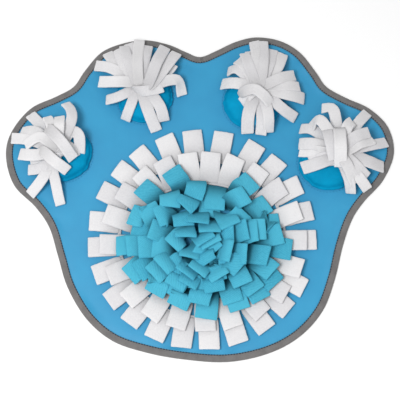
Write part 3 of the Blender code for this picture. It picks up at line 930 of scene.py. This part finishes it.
# from left to right: pouch centre and radius, knot centre, bearing of the first pleat, and the
# strips: points along each in millimetres, across and up from the knot and height above the
# floor, then its width and how far it is rolled over at its tip
toes = (
    {
        "number": 1, "centre": (-213, 63), "radius": 45, "knot": (-217, 58), "pleat": 10,
        "spread": (1.09, 1.02), "shift": (-3, 1),
        "strips": (
            (((-3, -4, 30), (-22, -14, 25), (-36, -16, 15)), 17, 0),
            (((0, 6, 30), (-14, 34, 24), (-22, 50, 13)), 17, 0),
            (((-3, 6, 33), (-26, 45, 19), (-42, 65, 9)), 18, 6),
            (((-4, -8, 30), (-21, -24, 27), (-40, -25, 15)), 17, 0),
            (((-4, -10, 32), (-20, -41, 21), (-38, -62, 10)), 17, -8),
            (((-7, -14, 33), (-1, -48, 20), (5, -77, 8)), 16.5, 4),
            (((-4, 5, 34), (-29, 31, 30), (-54, 37, 14)), 17, 10),
            (((-4, 2, 35), (-38, 18, 30), (-66, 26, 11)), 18, -6),
            (((6, 10, 33), (20, 30, 32), (31, 23, 33), (31, 0, 24)), 18, -16),
            (((4, 0, 34), (18, 6, 36), (26, -7, 26)), 18, 0),
            (((8, 14, 36), (20, 47, 37), (18, 66, 32), (10, 77, 28)), 17, 22),
            (((-4, 10, 36), (-8, 38, 41), (-15, 53, 33)), 16, 14),
            (((2, 10, 38), (4, 36, 45), (3, 53, 37)), 17, -12),
            (((-2, 4, 37), (-22, 19, 41), (-44, 10, 29)), 18, 0),
            (((-4, -2, 36), (-29, -8, 38), (-52, -3, 24)), 19, 6),
            (((-26, 0, 33), (-17, -4, 42), (-2, -18, 41), (16, -30, 29)), 17.5, 8),
            (((-16, 34, 36), (-9, 29, 46), (9, 8, 49), (24, -13, 34)), 18, -10),
        ),
    },
    {
        "number": 2, "centre": (-87, 157), "radius": 44, "knot": (-94, 162), "pleat": 32,
        "spread": (1.06, 1.05), "shift": (-4, 5),
        "strips": (
            (((6, -6, 30), (22, -26, 26), (32, -40, 14)), 17, 0),
            (((-8, 8, 33), (-39, 28, 27), (-64, 39, 11)), 18, -6),
            (((-6, 8, 33), (-32, 35, 26), (-47, 60, 10)), 18, 8),
            (((-4, 6, 35), (-9, 40, 29), (-15, 74, 11)), 17, -8),
            (((4, 4, 36), (11, 40, 32), (14, 70, 14)), 17, 10),
            (((-6, -8, 32), (-28, -17, 29), (-45, -18, 15)), 17, 6),
            (((-2, -12, 33), (-10, -32, 25), (-18, -48, 11)), 16.5, -8),
            (((16, 0, 34), (41, 20, 26), (52, 36, 20)), 17, 0),
            (((-8, 3, 35), (-34, 5, 33), (-56, 10, 17)), 19, 0),
            (((8, -14, 35), (17, -40, 25), (28, -64, 8)), 19, -4),
            (((16, -10, 36), (33, -31, 27), (39, -49, 11)), 18.5, 10),
            (((20, -4, 36), (45, 7, 31), (61, 9, 24), (66, -8, 10)), 18, 14),
            (((-4, 8, 36), (-21, 33, 36), (-30, 61, 18)), 17, -12),
            (((-3, 8, 38), (-13, 36, 38), (-21, 67, 18)), 17, 10),
            (((2, 4, 38), (0, 38, 37), (1, 78, 13)), 17.5, 0),
            (((18, -5, 38), (41, 28, 33), (57, 57, 15)), 19, -8),
            (((15, -4, 40), (29, 34, 40), (40, 65, 21)), 19, 6),
            (((-4, -10, 35), (14, -13, 41), (36, -5, 34)), 17, -6),
        ),
    },
    {
        "number": 3, "centre": (82, 147), "radius": 45, "knot": (87, 155), "pleat": 5,
        "spread": (1.05, 1.05), "shift": (4, 5),
        "strips": (
            (((4, 6, 30), (16, 26, 26), (34, 44, 14)), 17, 0),
            (((-5, 5, 34), (-8, 36, 32), (-11, 64, 17)), 17, 0),
            (((8, 6, 34), (29, 35, 30), (39, 64, 12)), 18, 6),
            (((4, 6, 36), (17, 39, 33), (24, 69, 16)), 17, -6),
            (((12, -10, 33), (36, -29, 26), (56, -38, 11)), 18, 6),
            (((8, 1, 35), (38, 5, 33), (61, 8, 19)), 18, -14),
            (((10, 0, 36), (42, -7, 31), (69, -8, 12)), 20, 4),
            (((2, -12, 34), (5, -41, 26), (4, -63, 10)), 18, 8),
            (((-6, -12, 35), (-15, -39, 28), (-16, -62, 11)), 20, -6),
            (((6, -12, 36), (14, -38, 31), (15, -61, 13)), 18, -10),
            (((-6, 6, 34), (-29, 31, 33), (-43, 33, 17)), 18, 12),
            (((-5, 6, 35), (-21, 38, 35), (-30, 50, 20)), 18, -10),
            (((-6, 2, 35), (-33, 9, 33), (-54, 14, 16)), 18.5, 0),
            (((8, 3, 37), (33, 16, 36), (54, 26, 17)), 18, 8),
            (((-4, 6, 37), (-14, 36, 39), (-19, 59, 22)), 17, 10),
            (((-4, 6, 38), (-2, 44, 36), (-4, 85, 11)), 17, -4),
            (((3, 6, 38), (8, 43, 38), (9, 83, 13)), 17, 6),
            (((-2, -4, 37), (-16, -12, 36), (-24, -18, 25)), 17, 0),
            (((-28, -8, 26), (-22, -6, 38), (-7, -5, 46), (6, -13, 43), (17, -23, 33)), 18, -8),
        ),
    },
    {
        "number": 4, "centre": (199, 49), "radius": 46, "knot": (209, 56), "pleat": 20,
        "spread": (1.04, 1.02), "shift": (5, 1),
        "strips": (
            (((-6, -4, 30), (-26, -8, 30), (-42, -12, 24)), 17, 0),
            (((-8, 8, 33), (-36, 36, 27), (-54, 42, 15)), 17.5, 6),
            (((-8, 0, 32), (-37, 2, 30), (-57, 5, 21)), 19, 0),
            (((10, 18, 33), (30, 48, 25), (47, 70, 11)), 17, 0),
            (((14, 2, 34), (50, 13, 28), (73, 22, 12)), 17, 6),
            (((12, -4, 34), (44, -14, 29), (67, -17, 11)), 20, -4),
            (((8, -12, 34), (27, -36, 26), (42, -52, 10)), 17, 6),
            (((2, -14, 34), (13, -40, 27), (17, -57, 10)), 17, 44),
            (((-8, 4, 34), (-37, 12, 34), (-58, 16, 23)), 19, -6),
            (((-6, -8, 35), (-30, -17, 34), (-54, -23, 25)), 21.5, 4),
            (((-2, 10, 37), (-4, 54, 32), (-9, 71, 28), (-22, 73, 23)), 18, 0),
            (((8, -8, 36), (25, -24, 35), (40, -35, 19)), 18, 0),
            (((-6, 6, 36), (-20, 36, 43), (-32, 50, 39), (-41, 41, 25)), 18, -8),
            (((2, 8, 38), (11, 36, 43), (19, 46, 35)), 18, 8),
            (((8, 0, 37), (29, 11, 41), (50, 21, 29)), 19, -6),
            (((6, 8, 39), (25, 22, 44), (43, 30, 33)), 18, 8),
            (((0, -6, 38), (11, -26, 40), (22, -45, 21)), 18, -10),
            (((-16, 18, 36), (-19, 33, 42), (-14, 6, 46), (-8, -20, 35)), 17, 10),
            (((-1, 14, 38), (-1, 33, 45), (-1, 3, 52), (0, -24, 36)), 19.5, 0),
        ),
    },
)


def buildPouch(toe):
    s = pouchSettings
    around, radius = s["around"], toe["radius"] * mm
    profile = smoothCurve([Vector(p) for p in pouchProfile], s["profileSteps"], closed=False)
    centre = Vector((*toe["centre"], 0.0)) * mm
    rows, marks = [], []
    for k, (reach, up) in enumerate(profile):
        row = []
        low = 1 - easeIn(up, *s["gatherFade"])             # gathers fade towards the top
        for i in range(around):
            at = 360.0 * i / around
            out = onBearing(at)
            drift = s["gatherDrift"] * noise.noise(Vector((out.x, out.y, toe["number"])))
            pleat = math.cos(math.radians((at - toe["pleat"]) * s["pleats"]))
            fold = abs(math.sin(math.radians(at * s["gathers"] / 2) + drift))
            wave = s["pleatDepth"] * pleat * (s["pleatAtMiddle"] + (1 - s["pleatAtMiddle"]) * reach)
            wave += s["gather"] * low * (fold - s["gatherMiddle"])
            point = centre + out * radius * (reach + wave * min(1.0, reach * s["waveRun"]))
            point.z += (s["base"] + s["height"] * up) * mm
            crease = noise.ridged_multi_fractal(
                Vector((point.x, point.y, point.z + toe["number"])) / (s["creaseSize"] * mm),
                *s["creaseNoise"])
            push = (crease - s["creaseMiddle"]) * s["crease"] * mm if up > s["creaseFrom"] else 0.0
            row.append(point + (out * s["creaseOut"] + upward * s["creaseUp"] * up)
                       * min(s["creaseLimit"] * mm, push))
        rows.append(row)
        marks.append([(math.tau * radius * i / around, k * s["layoutStep"] * mm)
                      for i in range(around)])
    shape = Shape()
    shape.addGrid(rows, marks, capped=True)
    piece = shape.makePiece("pouch_%d_cloth" % toe["number"], materials["pouch"],
                            ["pouch_%d" % toe["number"]])


def buildPouchStitches():
    s = pouchSettings
    shape = Shape()
    for toe in toes:
        centre, radius = Vector((*toe["centre"], 0)), toe["radius"] * s["stitchRing"]
        line = [(centre + onBearing(at) * radius) * mm for at in range(0, 360, 3)]
        stitchesAlong(shape, line, s["stitchPitch"], s["stitchLength"], s["threadRadius"],
                      s["stitchLift"])
    shape.makePiece("pouchStitches", materials["blueThread"])


bunchDice = random.Random(stripSettings["seed"])


def addStrip(shape, toe, path, width, roll):
    s = stripSettings
    steps = s["steps"]
    knot = Vector((*toe["knot"], 0)) * mm
    (wide, deep), (right, back) = toe["spread"], toe["shift"]
    points = [knot + Vector((x * wide + right, y * deep + back, z)) * mm for x, y, z in path]
    x, y, z = path[0]
    if math.hypot(x, y) < s["knotReach"]:                  # it grows out of the knot
        inwards, down = s["intoKnot"]
        points.insert(0, knot + Vector((x * inwards, y * inwards, z + down)) * mm)
    stations, length = spacedAlong(smoothCurve(points, s["curveSteps"], closed=False), steps)
    cup = bunchDice.choice((-1, 1)) * bunchDice.uniform(*s["cup"])
    roll = math.radians(roll + bunchDice.uniform(-1, 1) * s["roll"])
    phase = bunchDice.uniform(0, 6)
    frames, widths, cups = [], [], []
    side = None
    for i, centre in enumerate(stations):
        share = i / steps
        along = (stations[min(steps, i + 1)] - stations[max(0, i - 1)]).normalized()
        level = upward.cross(along).normalized()
        side = side or level
        side = (side - along * side.dot(along)).normalized()   # carried along without twist
        side = side.lerp(level if level.dot(side) > 0 else -level, s["settle"]).normalized()
        up = along.cross(side)
        lift = s["wave"] * mm * math.sin(phase + s["waveTurns"] * share) * share
        frames.append(rolledFrame(centre + up * lift, side, up, roll * share ** s["rollPower"]))
        flare = easeIn(share * length / mm, 0, s["flare"])
        widths.append((s["rootWidth"] + (width - s["rootWidth"]) * flare) * mm)
        swell = math.sin(math.pi * min(1.0, s["cupShift"] + share))
        cups.append(cup * (s["cupAtEnds"] + (1 - s["cupAtEnds"]) * swell))
    addStrand(shape, frames, widths, s["thickness"] * mm, cups, bunchDice.random(),
              bunchDice.uniform(-1, 1) * s["skew"])


def addKnot(shape, toe):
    # fleece drawn together in soft folds
    s = stripSettings
    sides = s["knotSides"]
    centre = Vector((*toe["knot"], 0)) * mm
    rows, marks = [], []
    for k, (reach, up) in enumerate(smoothCurve([Vector(p) for p in knotProfile], 3, closed=False)):
        row = []
        for i in range(sides):
            drift = 2 * noise.noise(Vector((i / s["knotFolds"], toe["number"], 0)))
            fold = 1 + s["knotFoldDepth"] * math.sin(math.tau * i / sides * s["knotFolds"] + drift)
            row.append(centre + onBearing(360 / sides * i) * s["knotRadius"] * mm * reach * fold
                       + upward * (s["knotBase"] + s["knotHeight"] * up) * mm)
        rows.append(row)
        marks.append([(i * mm, k * mm) for i in range(sides)])
    shape.addGrid(rows, marks, capped=True)


def buildBunch(toe):
    shape = Shape()
    for strip in toe["strips"]:
        addStrip(shape, toe, *strip)
    addKnot(shape, toe)
    return shape.makePiece("pompom_%d_fleece" % toe["number"], materials["white"],
                           ["pompom_%d" % toe["number"]])


for toe in toes:
    buildPouch(toe)
buildPouchStitches()
bunches = [buildBunch(toe) for toe in toes]
print("pouches and bunches built:", len(bunches))


studio = {
    "floorColour": "#f6f6f6", "floorRoughness": 0.9, "floorReach": 4, "floorDrop": 0.2,
    "skyColour": "#ffffff", "skyStrength": 0.54,
    # name, place, size in metres, watts
    "lights": (
        ("softboxOverhead", (-0.62, -0.5, 1.9), 0.6, 27.0),
        ("softboxFront", (0.2, -1.3, 1.9), 1.6, 8.0),
    ),
}


def buildFloor():
    reach = studio["floorReach"]
    mesh = bpy.data.meshes.new("paleFloor")
    mesh.from_pydata([(-reach, -reach, 0), (reach, -reach, 0), (reach, reach, 0), (-reach, reach, 0)],
                     [], [(0, 1, 2, 3)])
    material, tree = newMaterial("pale floor")
    shader = addNode(tree, "ShaderNodeBsdfPrincipled",
                     {"Base Color": hexToLinear(studio["floorColour"]),
                      "Roughness": studio["floorRoughness"]})
    addNode(tree, "ShaderNodeOutputMaterial", {"Surface": shader.outputs["BSDF"]})
    mesh.materials.append(material)
    floor = bpy.data.objects.new("paleFloor", mesh)
    bpy.context.scene.collection.objects.link(floor)
    floor.location.z = -studio["floorDrop"] * mm           # just clear of the mat's underside
    return floor


def buildLights():
    world = bpy.data.worlds.new("studio")
    bpy.context.scene.world = world
    world.use_nodes = True
    sky = world.node_tree.nodes["Background"].inputs
    sky["Color"].default_value = hexToLinear(studio["skyColour"])
    sky["Strength"].default_value = studio["skyStrength"]
    for name, place, size, watts in studio["lights"]:
        light = bpy.data.lights.new(name, "AREA")
        light.shape = "SQUARE"
        light.size = size
        light.energy = watts
        lamp = bpy.data.objects.new(name, light)
        lamp.location = place
        lamp.rotation_euler = (-lamp.location).to_track_quat("-Z", "Y").to_euler()
        bpy.context.scene.collection.objects.link(lamp)


floor = buildFloor()
buildLights()
print("floor and lights set")
